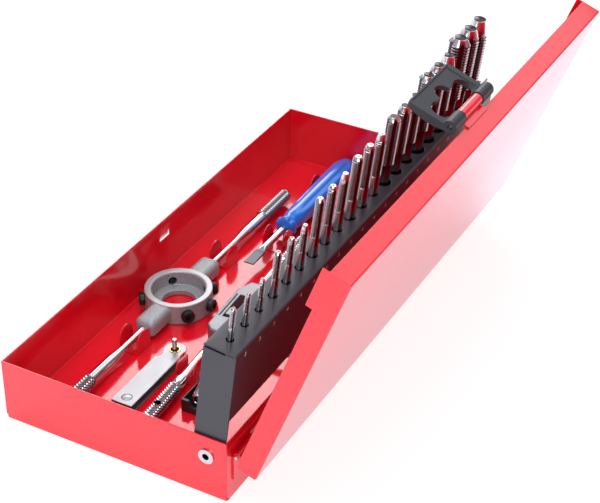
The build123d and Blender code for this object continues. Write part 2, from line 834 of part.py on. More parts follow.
with BuildPart() as screwdriver_blade:
    root = driver_tip - blade_length
    with BuildSketch(Plane.YZ.offset(driver_flange_at - blade_tang)):
        with Locations((driver_y, driver_z)):
            Circle(shank_radius)
    extrude(amount=root - driver_flange_at + blade_tang)
    with BuildSketch(Plane.YZ.offset(root)):
        with Locations((driver_y, driver_z)):
            Circle(shank_radius)
    with BuildSketch(Plane.YZ.offset(root + blade_length * 0.4)):
        with Locations((driver_y, driver_z)):
            Rectangle(blade_width, blade_tip_thickness * 2)
    loft()
    with BuildSketch(Plane.YZ.offset(root + blade_length * 0.4)):
        with Locations((driver_y, driver_z)):
            Rectangle(blade_width, blade_tip_thickness * 2)
    with BuildSketch(Plane.YZ.offset(driver_tip)):
        with Locations((driver_y, driver_z)):
            Rectangle(blade_width, blade_tip_thickness)
    loft()
finish(screwdriver_blade, "screwdriver_blade")

# ---------------------------------------------------------------- thread gauge
gauge_foot = floor + rest_gap
gauge_near = gauge_x + gauge_length
gauge_pivots = (gauge_x, gauge_near - gauge_pivot_inset)


gauge_left = gauge_y - gauge_width / 2
gauge_right = gauge_y + gauge_width / 2

with BuildPart() as gauge_case:
    # a round head, a shoulder and a square near end
    with BuildSketch(Plane.XY.offset(gauge_foot)):
        with Locations(((gauge_x + gauge_near) / 2 + gauge_step * 2, gauge_y)):
            Rectangle(gauge_length - gauge_step * 4, gauge_width)
        with Locations((gauge_x, gauge_y)):
            Circle(gauge_head_radius)
        with BuildLine():
            Polyline(
                (gauge_x, gauge_right),
                (gauge_x + gauge_step * 5, gauge_right),
                (gauge_x + gauge_step * 5, gauge_left),
                (gauge_x + gauge_step * 3, gauge_left + gauge_step),
                (gauge_x, gauge_y - gauge_head_radius),
                close=True,
            )
        make_face()
    extrude(amount=gauge_height)
    # the slot for the leaves is open on the +Y side and at the near end
    with BuildSketch(Plane.XY.offset(gauge_foot + gauge_cheek)):
        with Locations((gauge_x + gauge_length / 2, gauge_y + gauge_cheek)):
            Rectangle(gauge_length + 2 * gauge_width, gauge_width)
    extrude(amount=gauge_height - 2 * gauge_cheek, mode=Mode.SUBTRACT)
    for x in gauge_pivots:
        with BuildSketch(Plane.XY.offset(gauge_foot)):
            with Locations((x, gauge_y)):
                Circle(eyelet_hole)
        extrude(amount=gauge_height, mode=Mode.SUBTRACT)
finish(gauge_case, "gauge_case")

with BuildPart() as gauge_eyelets:
    for x in gauge_pivots:
        with BuildSketch(Plane.XY.offset(gauge_foot)):
            with Locations((x, gauge_y)):
                Circle(eyelet_hole)
                Circle(eyelet_bore, mode=Mode.SUBTRACT)
        extrude(amount=gauge_height + eyelet_flange)
        with BuildSketch(Plane.XY.offset(gauge_foot + gauge_height)):
            with Locations((x, gauge_y)):
                Circle(eyelet_radius)
                Circle(eyelet_bore, mode=Mode.SUBTRACT)
        extrude(amount=eyelet_flange)
finish(gauge_eyelets, "gauge_eyelets")


def gauge_leaves(pivot, reach, label):
    """A fan of thin leaves on one eyelet, folded into the case."""
    tip = pivot + reach
    with BuildPart() as leaves:
        for number in range(leaf_count):
            level = gauge_foot + gauge_cheek + leaf_start + number * leaf_pitch
            with BuildSketch(Plane.XY.offset(level)):
                with Locations(((pivot + tip) / 2, gauge_y)):
                    Rectangle(abs(reach), leaf_width)
                with Locations((pivot, gauge_y)):
                    Circle(leaf_width / 2)
                    Circle(eyelet_hole + leaf_hole_gap, mode=Mode.SUBTRACT)
            extrude(amount=leaf_sheet)
    finish(leaves, label)


leaf_reach = (gauge_pivots[1] - gauge_pivots[0]) / 2 - leaf_width / 4
gauge_leaves(gauge_pivots[0], leaf_reach, "gauge_leaves_far")
gauge_leaves(gauge_pivots[1], -leaf_reach, "gauge_leaves_near")

with BuildPart() as gauge_post:
    with BuildSketch(Plane.XY.offset(floor)):
        with Locations((gauge_x, gauge_y)):
            Circle(post_radius)
    extrude(amount=post_height)
    fillet(gauge_post.edges().sort_by(Axis.Z)[-1], post_round)
finish(gauge_post, "gauge_post")

# ---------------------------------------------------------------- tap wrench
wrench_foot = floor + rest_gap
wrench_z = wrench_foot + wrench_body_height / 2
wrench_plane = Plane(
    origin=(wrench_x, wrench_y, wrench_z),
    x_dir=(wrench_dir[0], wrench_dir[1], 0),
    z_dir=(0, 0, 1),
)
wrench_axis = Axis(wrench_plane.origin, wrench_plane.x_dir)
half_body = wrench_body_length / 2

with BuildPart() as tap_wrench_body:
    with BuildSketch(wrench_plane.offset(-wrench_body_height / 2)):
        with BuildLine():
            Polyline(
                (-half_body, -wrench_end_width / 2),
                (-half_body + wrench_end_taper, -wrench_body_width / 2),
                (half_body - wrench_end_taper / 2, -wrench_body_width / 2),
                (half_body, -wrench_end_width / 2),
                (half_body, wrench_end_width / 2),
                (half_body - wrench_end_taper / 2, wrench_body_width / 2),
                (-half_body + wrench_end_taper, wrench_body_width / 2),
                (-half_body, wrench_end_width / 2),
                close=True,
            )
        make_face()
    extrude(amount=wrench_body_height)
    chamfer(tap_wrench_body.faces().sort_by(Axis.Z)[-1].edges(), wrench_chamfer)
    # the jaw window, and the rod holes at both ends
    with BuildSketch(wrench_plane.offset(-wrench_body_height / 2)):
        Rectangle(wrench_window_length, wrench_window_width)
    extrude(amount=wrench_body_height, mode=Mode.SUBTRACT)
    end_plane = Plane(
        origin=wrench_plane.from_local_coords((-half_body, 0, 0)),
        x_dir=wrench_plane.y_dir,
        z_dir=wrench_plane.x_dir,
    )
    with BuildSketch(end_plane):
        Circle(wrench_rod_radius + wrench_rod_gap)
    extrude(amount=wrench_body_length, mode=Mode.SUBTRACT)
    # an engraved line beside the window
    with BuildSketch(wrench_plane.offset(wrench_body_height / 2)):
        with Locations((0, -wrench_body_width / 2 + wrench_groove_inset)):
            Rectangle(wrench_window_length, wrench_groove)
    extrude(amount=-wrench_groove, mode=Mode.SUBTRACT)
finish(tap_wrench_body, "tap_wrench_body")


def wrench_handle(side, outline, label, cross_at=None):
    """A turned handle on the wrench's axis, with a cross hole where it has one."""
    with BuildPart() as handle:
        with BuildSketch(
            Plane(
                origin=wrench_plane.origin,
                x_dir=wrench_plane.x_dir * side,
                z_dir=wrench_plane.y_dir * -side,
            )
        ):
            with BuildLine():
                Polyline(*outline, close=True)
            make_face()
        revolve(axis=wrench_axis)
        if cross_at:
            with BuildSketch(wrench_plane.offset(-wrench_grip_radius - 1)):
                with Locations((side * cross_at, 0)):
                    Circle(wrench_cross_hole)
            extrude(amount=2 * wrench_grip_radius + 2, mode=Mode.SUBTRACT)
    finish(handle, label)


window_end = wrench_window_length / 2
grip_end = wrench_grip_start + wrench_grip_length
swell_at = wrench_grip_start - wrench_swell
wrench_handle(
    1,
    [
        (window_end - jaw_screw_reach, 0),
        (window_end - jaw_screw_reach, wrench_rod_radius),
        (half_body + wrench_neck / 2, wrench_rod_radius),
        (swell_at - wrench_swell / 2, wrench_rod_radius + 0.3),
        (swell_at + wrench_swell / 2, wrench_swell_radius),
        (wrench_grip_start, wrench_swell_radius),
        (wrench_grip_start + 0.8, wrench_grip_radius),
        (grip_end - grip_round, wrench_grip_radius),
        (grip_end, wrench_grip_radius - grip_round),
        (grip_end, 0),
    ],
    "tap_wrench_handle",
    wrench_cross_at,
)
wrench_handle(
    -1,
    [
        (window_end + 1.0, 0),
        (window_end + 1.0, wrench_rod_radius + wrench_rod_gap),
        (fixed_handle_end - fixed_grip_length - 2, wrench_rod_radius + wrench_rod_gap),
        (fixed_handle_end - fixed_grip_length, fixed_grip_radius),
        (fixed_handle_end - grip_round, fixed_grip_radius),
        (fixed_handle_end, fixed_grip_radius - grip_round),
        (fixed_handle_end, 0),
    ],
    "tap_wrench_rod",
)

with BuildPart() as tap_wrench_jaw:
    jaw_half = wrench_window_width / 2 - jaw_gap
    jaw_end = window_end - jaw_screw_reach - jaw_gap
    with BuildSketch(wrench_plane.offset(-wrench_body_height / 2 + jaw_gap)):
        with BuildLine():
            Polyline(
                (jaw_end, -jaw_half),
                (jaw_end, jaw_half),
                (jaw_end - jaw_length, jaw_half),
                (jaw_end - jaw_length + jaw_half * 0.8, 0),
                (jaw_end - jaw_length, -jaw_half),
                close=True,
            )
        make_face()
    extrude(amount=wrench_body_height - 2 * jaw_gap)
finish(tap_wrench_jaw, "tap_wrench_jaw")

# ---------------------------------------------------------------- tap chuck
chuck_z = floor + rest_gap + holder_gap + chuck_cone_radius + holder_floor
chuck_axis = Axis((0, chuck_y, chuck_z), (1, 0, 0))
cone_end = chuck_nose_at - chuck_cone_length
chuck_end = cone_end - 3 * chuck_band - chuck_body_length
bar_x = chuck_end + bar_rod_inset

with BuildPart() as tap_chuck:
    with BuildSketch(Plane(origin=(0, chuck_y, chuck_z), x_dir=(1, 0, 0), z_dir=(0, -1, 0))):
        with BuildLine():
            Polyline(
                (chuck_nose_at, 0),
                (chuck_nose_at, chuck_nose_radius),
                (cone_end, chuck_cone_radius),
                (cone_end, chuck_groove_radius),
                (cone_end - chuck_band, chuck_groove_radius),
                (cone_end - chuck_band, chuck_cone_radius),
                (cone_end - 2 * chuck_band, chuck_cone_radius),
                (cone_end - 2 * chuck_band, chuck_groove_radius),
                (cone_end - 3 * chuck_band, chuck_groove_radius),
                (cone_end - 3 * chuck_band, chuck_body_radius),
                (chuck_end + 1, chuck_body_radius),
                (chuck_end, chuck_body_radius - 1),
                (chuck_end, 0),
                close=True,
            )
        make_face()
    revolve(axis=chuck_axis)
    with BuildSketch(Plane.YZ.offset(chuck_nose_at)):
        with Locations((chuck_y, chuck_z)):
            Circle(chuck_mouth_radius)
    extrude(amount=-chuck_mouth_depth, mode=Mode.SUBTRACT)
    with BuildSketch(Plane.XZ.offset(-chuck_y - chuck_cone_radius)):
        with Locations((bar_x, chuck_z)):
            Circle(bar_rod_radius + bar_slide_gap)
    extrude(amount=2 * chuck_cone_radius, mode=Mode.SUBTRACT)
finish(tap_chuck, "tap_chuck")

bar_low = chuck_y - chuck_body_radius - bar_stand_out
bar_rod_length = inner_half_width - bar_end_gap - bar_ball_length - bar_low
with BuildPart() as chuck_bar:
    with BuildSketch(Plane.XZ.offset(-bar_low)):
        with Locations((bar_x, chuck_z)):
            Circle(bar_rod_radius)
    extrude(amount=-bar_rod_length)
    with BuildSketch(Plane.XZ.offset(-bar_low - bar_rod_length)):
        with Locations((bar_x, chuck_z)):
            Circle(bar_ball_radius)
    extrude(amount=-bar_ball_length)
finish(chuck_bar, "chuck_bar")

with BuildPart() as chuck_holder:
    with BuildSketch(Plane.XY.offset(floor)):
        with Locations((holder_end - holder_length / 2, chuck_y)):
            Rectangle(holder_length, holder_width)
    extrude(amount=holder_height)
    with BuildSketch(Plane.YZ.offset(holder_end - holder_length)):
        with Locations((chuck_y, chuck_z)):
            Circle(chuck_cone_radius + holder_gap)
    extrude(amount=holder_length - holder_wall, mode=Mode.SUBTRACT)
    with BuildSketch(Plane.YZ.offset(holder_end - holder_wall)):
        with Locations((chuck_y, chuck_z)):
            Circle(chuck_nose_radius + holder_gap)
    extrude(amount=holder_wall, mode=Mode.SUBTRACT)
finish(chuck_holder, "chuck_holder")

# ---------------------------------------------------------------- writing
os.makedirs("parts", exist_ok=True)
for piece in parts:
    export_step(piece, f"parts/{piece.label}.step")
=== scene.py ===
"""Tap and die storage drawer: the finish of every surface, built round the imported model."""

import json
from math import atan2, cos, hypot, radians, sin, tau

import bpy
from mathutils import Matrix, Vector


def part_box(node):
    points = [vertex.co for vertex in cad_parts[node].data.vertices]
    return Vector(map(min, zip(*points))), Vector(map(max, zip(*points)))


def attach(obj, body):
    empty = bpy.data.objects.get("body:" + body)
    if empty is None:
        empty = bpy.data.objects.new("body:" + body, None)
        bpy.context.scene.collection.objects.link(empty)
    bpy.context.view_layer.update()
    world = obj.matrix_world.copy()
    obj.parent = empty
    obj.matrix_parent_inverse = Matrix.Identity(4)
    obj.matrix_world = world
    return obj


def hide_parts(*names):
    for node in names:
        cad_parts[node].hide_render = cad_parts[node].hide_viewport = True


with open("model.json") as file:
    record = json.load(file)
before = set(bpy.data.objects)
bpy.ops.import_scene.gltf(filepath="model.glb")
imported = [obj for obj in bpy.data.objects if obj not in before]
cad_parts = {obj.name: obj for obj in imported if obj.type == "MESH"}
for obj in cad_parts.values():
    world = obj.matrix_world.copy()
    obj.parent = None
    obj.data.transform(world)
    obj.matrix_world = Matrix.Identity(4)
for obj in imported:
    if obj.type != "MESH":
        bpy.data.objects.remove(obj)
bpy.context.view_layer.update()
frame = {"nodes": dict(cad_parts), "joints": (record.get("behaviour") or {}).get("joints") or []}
nodes = frame["nodes"]

# ------------------------------------------------------------------ the room
# A pale floor in a white studio, seen as the drawer was: from the right and behind, from
# above. Four soft panels light it, and the metal mirrors a dimmer, faintly lilac room.
camera_azimuth = radians(117.839)
camera_elevation = radians(33.79)
camera_roll = radians(0.908)
camera_distance = 0.86727
camera_target = Vector((0.0, 0.0228, 0.042965))
camera_lens = 96.09
camera_sensor = 36.0
camera_clip = 0.01

back = Vector((
    sin(camera_azimuth) * cos(camera_elevation),
    -cos(camera_azimuth) * cos(camera_elevation),
    sin(camera_elevation),
))
level = Vector((cos(camera_azimuth), sin(camera_azimuth), 0.0))
upright = back.cross(level)
across = cos(camera_roll) * level + sin(camera_roll) * upright
upward = cos(camera_roll) * upright - sin(camera_roll) * level
bpy.ops.object.camera_add()
camera = bpy.context.object
camera.name = "camera"
camera.matrix_world = Matrix.Translation(camera_target + camera_distance * back) @ Matrix(
    (across, upward, back)
).transposed().to_4x4()
camera.data.lens = camera_lens
camera.data.sensor_width = camera_sensor
camera.data.clip_start = camera_clip
bpy.context.scene.camera = camera
bpy.context.scene.view_settings.view_transform = "Standard"


class Wire:
    """A shader socket that takes part in arithmetic, each step adding one Math node."""

    def __init__(self, shader, socket):
        self.shader = shader
        self.socket = socket

    def math(self, operation, *values):
        return self.shader.node("ShaderNodeMath", {"operation": operation}, dict(enumerate(values)))

    def __add__(self, other):
        return self.math("ADD", self, other)

    def __sub__(self, other):
        return self.math("SUBTRACT", self, other)

    def __mul__(self, other):
        return self.math("MULTIPLY", self, other)

    def __pow__(self, other):
        return self.math("POWER", self, other)

    def __rsub__(self, other):
        return self.math("SUBTRACT", other, self)

    __radd__ = __add__
    __rmul__ = __mul__

    def above(self, edge, soft):
        """0 below the edge, 1 above it, with a soft step of that width."""
        return self.shader.node(
            "ShaderNodeMapRange",
            {"interpolation_type": "SMOOTHSTEP"},
            {"Value": self, "From Min": edge - soft / 2, "From Max": edge + soft / 2},
        )


class Shader:
    """A material built node by node. Places are Object coordinates, in metres."""

    def __init__(self, name, owner=None):
        self.material = owner or bpy.data.materials.new(name)
        self.material.use_nodes = True
        self.tree = self.material.node_tree
        self.tree.nodes.clear()

    def node(self, kind, settings=None, inputs=None, output=0):
        """Adds a node, sets it, then gives its sockets their values or links."""
        made = self.tree.nodes.new(kind)
        for key, value in (settings or {}).items():
            if key == "stops":
                ramp = made.color_ramp
                while len(ramp.elements) < len(value):
                    ramp.elements.new(1.0)
                for element, (place, colour) in zip(ramp.elements, value):
                    element.position = place
                    element.color = (*colour, 1.0)
            else:
                setattr(made, key, value)
        for key, value in (inputs or {}).items():
            socket = made.inputs[key]
            if isinstance(value, Wire):
                self.tree.links.new(value.socket, socket)
            elif isinstance(value, tuple) and len(value) == 3 and socket.type == "RGBA":
                socket.default_value = (*value, 1.0)
            else:
                socket.default_value = value
        return Wire(self, made.outputs[output]) if made.outputs else None

    def place(self):
        return self.node("ShaderNodeTexCoord", output="Object")

    def axes(self, place=None):
        """X, Y and Z of a place, as three wires."""
        split = self.node("ShaderNodeSeparateXYZ", inputs={"Vector": place or self.place()})
        outputs = split.socket.node.outputs
        return [Wire(self, outputs[name]) for name in "XYZ"]

    def noise(self, size, detail=3.0, roughness=0.5, place=None):
        """Noise whose largest features are about that many metres across."""
        return self.node(
            "ShaderNodeTexNoise",
            {},
            {
                "Vector": place or self.place(),
                "Scale": 1.0 / size,
                "Detail": detail,
                "Roughness": roughness,
            },
        )

    def mix(self, factor, low, high):
        """A colour between two colours."""
        return self.node(
            "ShaderNodeMix", {"data_type": "RGBA"}, {0: factor, 6: low, 7: high}, output=2
        )

    def groove(self):
        """How deep a point lies in a thread, flute or knurl, as its piece's mesh says, which sets
        its painted shade.
        """
        return self.node("ShaderNodeAttribute", {"attribute_name": "groove"}, output="Fac")

    def bump(self, height, depth):
        return self.node(
            "ShaderNodeBump", {}, {"Height": height, "Distance": depth, "Strength": 1.0}
        )

    def surface(self, **sockets):
        """The closing shader, whose sockets are given in lower case with underscores."""
        inputs = {name.replace("_", " ").title(): value for name, value in sockets.items()}
        closing = self.node("ShaderNodeBsdfPrincipled", {}, inputs)
        self.node("ShaderNodeOutputMaterial", {}, {"Surface": closing})
        return self.material


white = (1.0, 1.0, 1.0)
floor_size = 6.0
floor_lit = (0.9, 0.9, 0.9)            # as light bounces off it
floor_mirrored = (0.62, 0.60, 0.69)    # in the enamel and the metal
floor_seen = (0.24, 0.24, 0.24)        # by the camera, which also sees all of the glow
floor_glow = 0.42
bpy.ops.mesh.primitive_plane_add(size=floor_size)
ground = bpy.context.object
ground.name = "ground"
floor = Shader("pale_floor")
seen = floor.node("ShaderNodeLightPath", output="Is Camera Ray")
mirrored = floor.node("ShaderNodeLightPath", output="Is Glossy Ray")
floor_colour = floor.mix(seen, floor.mix(mirrored, floor_lit, floor_mirrored), floor_seen)
paper = floor.node("ShaderNodeBsdfDiffuse", {}, {"Color": floor_colour})
glow = floor.node(
    "ShaderNodeEmission", {}, {"Color": white, "Strength": floor_glow + floor_glow * seen}
)
glowing_paper = floor.node("ShaderNodeAddShader", {}, {0: paper, 1: glow})
floor.node("ShaderNodeOutputMaterial", {}, {"Surface": glowing_paper})
ground.data.materials.append(floor.material)

room_mirrored = (1.0, 0.97, 1.12)
room_strength = 0.58
room = Shader("room", bpy.data.worlds.new("room"))
bpy.context.scene.world = room.material
glossy = room.node("ShaderNodeLightPath", output="Is Glossy Ray")
height = room.axes(room.node("ShaderNodeTexCoord", output="Generated"))[2]
glance = 0.20 + 0.20 * height.above(0.35, 0.6)
room_light = room.node(
    "ShaderNodeBackground",
    {},
    {
        "Color": room.mix(glossy, white, room_mirrored),
        "Strength": room_strength + glossy * (glance - room_strength),
    },
)
room.node("ShaderNodeOutputWorld", {}, {"Surface": room_light})

# name, place, size across and up, watts
panels = [
    ("panel_left", (-1.3, -0.9, 0.95), (1.2, 0.8), 11.0),
    ("panel_top", (0.1, -0.1, 1.5), (0.9, 0.9), 9.0),
    ("panel_right", (1.0, 0.6, 0.8), (0.8, 0.8), 6.0),
    ("panel_far", (-1.3, 0.25, 1.3), (0.9, 0.9), 2.2),
]
panel_aim = Vector((0, 0, 0.04))
for name, place, (wide, high), watts in panels:
    lamp = bpy.data.lights.new(name, "AREA")
    lamp.shape = "RECTANGLE"
    lamp.size = wide
    lamp.size_y = high
    lamp.energy = watts
    panel = bpy.data.objects.new(name, lamp)
    panel.location = place
    panel.rotation_euler = (panel_aim - Vector(place)).to_track_quat("-Z", "Y").to_euler()
    bpy.context.scene.collection.objects.link(panel)

# ------------------------------------------------------------------ red sheet metal
# The tray, the lid, the hinge's leaves, the clips and the latch's plate are cold-rolled
# sheet, baked with a glossy red enamel that lies a little uneven, like orange peel.


def red_enamel():
    shader = Shader("red_enamel")
    peel = shader.noise(0.0011, detail=2.0)
    cloud = shader.noise(0.05, detail=3.0)
    dust = shader.noise(0.0016, detail=5.0, roughness=0.7).above(0.66, 0.12)
    colour = shader.mix(cloud, (0.74, 0.003, 0.014), (0.84, 0.005, 0.020))
    colour = shader.mix(dust * 0.12, colour, (0.90, 0.14, 0.17))
    return shader.surface(
        base_color=colour,
        roughness=0.13 + 0.07 * cloud + 0.12 * dust,
        coat_weight=0.8,
        coat_roughness=0.06,
        normal=shader.bump(peel, 0.00002),
    )


sharp_from = radians(35)
weld_reach = 1e-6
flat_within = radians(0.5)


def bare():
    """Leaves nothing selected."""
    bpy.ops.object.select_all(action="DESELECT")


def alone(piece):
    """Leaves one piece selected, and makes it the active one."""
    bare()
    piece.select_set(True)
    bpy.context.view_layer.objects.active = piece


def dress(piece, material, shade=None):
    """Gives a piece one finish all over, and smooths bends under that many degrees."""
    piece.data.materials.clear()
    piece.data.materials.append(material)
    if shade is not None:
        alone(piece)
        bpy.ops.object.shade_smooth_by_angle(angle=radians(shade))


def block(size, place):
    """A box with its place in its mesh."""
    bare()
    bpy.ops.mesh.primitive_cube_add(size=1.0, location=place, scale=size)
    bpy.ops.object.transform_apply()
    return bpy.context.object


def joined(name, pieces):
    """Makes one piece of several."""
    bare()
    for piece in pieces:
        piece.select_set(True)
    bpy.context.view_layer.objects.active = pieces[0]
    bpy.ops.object.join()
    pieces[0].name = name
    return pieces[0]


def eased(piece, width, segments=2):
    """Rounds a piece's sharp edges."""
    alone(piece)
    bpy.ops.object.shade_smooth_by_angle(angle=sharp_from)
    rounding = piece.modifiers.new("rounding", "BEVEL")
    rounding.width = width
    rounding.segments = segments
    rounding.limit_method = "ANGLE"
    rounding.angle_limit = sharp_from
    rounding.use_clamp_overlap = False
    rounding.harden_normals = True
    bpy.ops.object.modifier_apply(modifier="rounding")
    return piece


def softened(name, width, segments=2):
    """A copy of a solid with its surfaces whole again and its edges rounded."""
    piece = bpy.data.objects.new(name + "_eased", nodes[name].data.copy())
    bpy.context.scene.collection.objects.link(piece)
    alone(piece)
    bpy.ops.object.mode_set(mode="EDIT")
    bpy.ops.mesh.select_all(action="SELECT")
    bpy.ops.mesh.remove_doubles(threshold=weld_reach)
    bpy.ops.mesh.dissolve_limited(angle_limit=flat_within)
    bpy.ops.object.mode_set(mode="OBJECT")
    return eased(piece, width, segments)


def settle(piece, body, slot, *replaced):
    """Puts a finished piece on its body, for the nodes it stands for, which it hides. The material
    slot is not used.
    """
    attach(piece, body)
    if replaced:
        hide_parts(*replaced)


def finished(name, finish, body, slot, width, segments=2):
    """Dresses the softened copy of a solid, which then stands for that solid."""
    piece = softened(name, width, segments)
    dress(piece, finish)
    settle(piece, body, slot, name)


red = red_enamel()
# node, body, rounding of the sheet's edges
for name, body, rounding in (
    ("base_tray", "tray", 0.00022),
    ("lid", "lid", 0.00022),
    ("latch_plate", "lid", 0.0002),
    ("die_stock_clips", "tray", 0.00022),
    ("screwdriver_shank_clip", "tray", 0.00022),
    ("screwdriver_handle_clip", "tray", 0.00022),
    ("wrench_clip", "tray", 0.00022),
):
    finished(name, red, body, "red_sheet", rounding)
for name in ("hinge_leaf_base", "hinge_leaf_lid"):
    dress(nodes[name], red, shade=30)
# a bead of weld closes each of the tray's far corners
weld_size = (0.0012, 0.0012, 0.0030)
weld_rounding = 0.0003
welds = [
    eased(block(weld_size, (-0.1487, y, 0.0022)), weld_rounding) for y in (-0.0637, 0.0637)
]
corner_welds = joined("corner_welds", welds)
dress(corner_welds, red)
settle(corner_welds, "tray", "red_sheet")

# ------------------------------------------------------------------ hinge pin and rivets
# A drawn steel pin runs through the hinge's knuckles, and two tubular steel rivets carry
# the rack. All three are zinc plated, which goes dull and a little cloudy.


def bright_zinc(name, colour, roughness, bore=None):
    """Zinc plate, with painted shade inside a bore given as its axis's Y and Z and its radius."""
    shader = Shader(name)
    cloud = shader.noise(0.004, detail=4.0)
    scratches = shader.noise(0.0003, detail=2.0)
    tint = shader.mix(cloud, colour, tuple(0.8 * part for part in colour))
    if bore:
        _, y, z = shader.axes()
        reach = ((y - bore[0]) ** 2 + (z - bore[1]) ** 2) ** 0.5
        # the bore is painted near black, as painted shade
        tint = shader.mix(reach.above(bore[2], 0.0002), (0.012, 0.012, 0.014), tint)
    return shader.surface(
        base_color=tint,
        metallic=1.0,
        roughness=roughness + 0.14 * cloud,
        normal=shader.bump(scratches, 0.00001),
    )


zinc = bright_zinc("zinc_plate", (0.78, 0.77, 0.76), 0.22)
for name in ("hinge_pin", "gauge_post"):
    dress(nodes[name], zinc, shade=30)
rivet_bore = (0.05385, 0.0246, 0.00182)
rivet_zinc = bright_zinc("rivet_zinc", (0.80, 0.80, 0.81), 0.20, rivet_bore)
dress(nodes["rack_rivets"], rivet_zinc, shade=30)

# ------------------------------------------------------------------ tap rack
# The rack is folded from one sheet and painted a dark blue grey with a fine sand grain.
# Plain size numbers are printed in white under the top edge, one for each tap.
joints = {joint["name"]: joint for joint in frame["joints"]}
rack_foot = Vector(joints["rack_pivot"]["pos_m"])
rack_up = -Vector(joints["taps_m3_lift"]["axis"])
rack_out = rack_up.cross(Vector((1, 0, 0)))
rack_matrix = Matrix.Translation(rack_foot) @ Matrix(
    (Vector((1, 0, 0)), rack_out, rack_up)
).transposed().to_4x4()


def rack_paint():
    shader = Shader("rack_paint")
    grain = shader.noise(0.0005, detail=3.0)
    cloud = shader.noise(0.03, detail=2.0)
    colour = shader.mix(cloud, (0.026, 0.028, 0.036), (0.037, 0.040, 0.051))
    return shader.surface(
        base_color=colour,
        roughness=0.34 + 0.10 * cloud,
        coat_weight=0.25,
        coat_roughness=0.25,
        normal=shader.bump(grain, 0.00002),
    )


rack_finish = rack_paint()
finished("tap_rack", rack_finish, "rack", "rack_sheet", 0.00025)
dress(nodes["rack_shelf"], rack_finish, shade=30)

# node, thread, pitch, shank, square, length above the rack, threaded length, flutes
tap_sizes = [
    ("taps_m3", 0.0030, 0.00050, 0.00315, 0.00250, 0.0186, 0.011, 3),
    ("taps_m4", 0.0040, 0.00070, 0.00400, 0.00315, 0.0260, 0.015, 3),
    ("taps_m5", 0.0050, 0.00080, 0.00500, 0.00400, 0.0340, 0.022, 3),
    ("taps_m6", 0.0060, 0.00100, 0.00630, 0.00500, 0.0368, 0.025, 3),
    ("taps_m8", 0.0080, 0.00125, 0.00630, 0.00500, 0.0405, 0.029, 4),
    ("taps_m10", 0.0100, 0.00150, 0.00800, 0.00630, 0.0465, 0.034, 4),
    ("taps_m12", 0.0124, 0.00175, 0.00900, 0.00710, 0.0515, 0.038, 4),
]
tap_pitch = 0.0132
rack_top = 0.065
rack_face = 0.0173 / 2
number_size = 0.0034
number_drop = 0.0042
number_depth = 0.00004


def printed(text, name, size, depth):
    """A plain number as a thin raised print, lying in the XY plane and centred."""
    bare()
    bpy.ops.object.text_add()
    words = bpy.context.object
    words.name = name
    words.data.body = text
    words.data.size = size
    words.data.align_x = "CENTER"
    words.data.align_y = "CENTER"
    words.data.extrude = depth
    words.data.resolution_u = 3
    bpy.ops.object.convert(target="MESH")
    return bpy.context.object


number_turn = Matrix((Vector((-1, 0, 0)), rack_up, rack_out)).transposed().to_4x4()
prints = []
for name, *_ in tap_sizes:
    low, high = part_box(name)
    middle = (low.x + high.x) / 2
    for step in (-1, 0, 1):
        number = printed(name.split("_m")[1], "rack_number", number_size, number_depth)
        spot = Vector((middle + step * tap_pitch, rack_face, rack_top - number_drop))
        number.data.transform(Matrix.Translation(rack_matrix @ spot) @ number_turn)
        prints.append(number)
rack_numbers = joined("rack_numbers", prints)


def white_print():
    shader = Shader("white_print")
    wear = shader.noise(0.0006, detail=3.0)
    colour = shader.mix(wear, (0.62, 0.62, 0.64), (0.80, 0.80, 0.82))
    return shader.surface(base_color=colour, roughness=0.5 + 0.1 * wear)


dress(rack_numbers, white_print())
settle(rack_numbers, "rack", "rack_sheet")

# ------------------------------------------------------------------ taps
# Three taps to a size, ground from high-speed steel: a squared shank, a thread with
# straight flutes, and a lead at the tip that is short, longer or long.
tap_foot = 0.0356
square_length = 0.008
tip_leads = (1.5, 3.2, 6.0)
lead_extra = 0.0004
foot_margin = 0.3                  # of the thread, from a flute's foot to the thread
tip_taper = 0.2                    # of the thread, off the radius at the tip
# shares of the pitch: the thread's depth, where its root ends, its crest's start and end
thread_depth, root_end, crest_start, crest_end = 0.6, 0.34, 0.52, 0.76
# shares of the thread: how far out a flute's round is centred, its radius, and the depth
# at which its painted shade is full
flute_reach, flute_round, flute_full_shade = 0.52, 0.2, 0.12
flute_edge = 0.393                 # half of a flute's mouth, as an angle
flute_run_out = 0.9


def turned(name, outline, steps):
    """Spins an outline of (radius, height) points about Z into a closed piece."""
    bare()
    bpy.ops.mesh.primitive_plane_add(size=0.001)
    piece = bpy.context.object
    piece.name = name
    bpy.ops.object.mode_set(mode="EDIT")
    bpy.ops.mesh.merge(type="CENTER")
    first = outline[0]
    bpy.ops.transform.translate(value=(first[0], 0, first[1]))
    for near, far in zip(outline, outline[1:]):
        move = (far[0] - near[0], 0, far[1] - near[1])
        bpy.ops.mesh.extrude_region_move(TRANSFORM_OT_translate={"value": move})
    bpy.ops.mesh.select_all(action="SELECT")
    bpy.ops.mesh.spin(steps=steps, angle=tau, center=(0, 0, 0), axis=(0, 0, 1))
    bpy.ops.mesh.remove_doubles(threshold=weld_reach)
    bpy.ops.mesh.normals_make_consistent(inside=False)
    bpy.ops.object.mode_set(mode="OBJECT")
    return piece


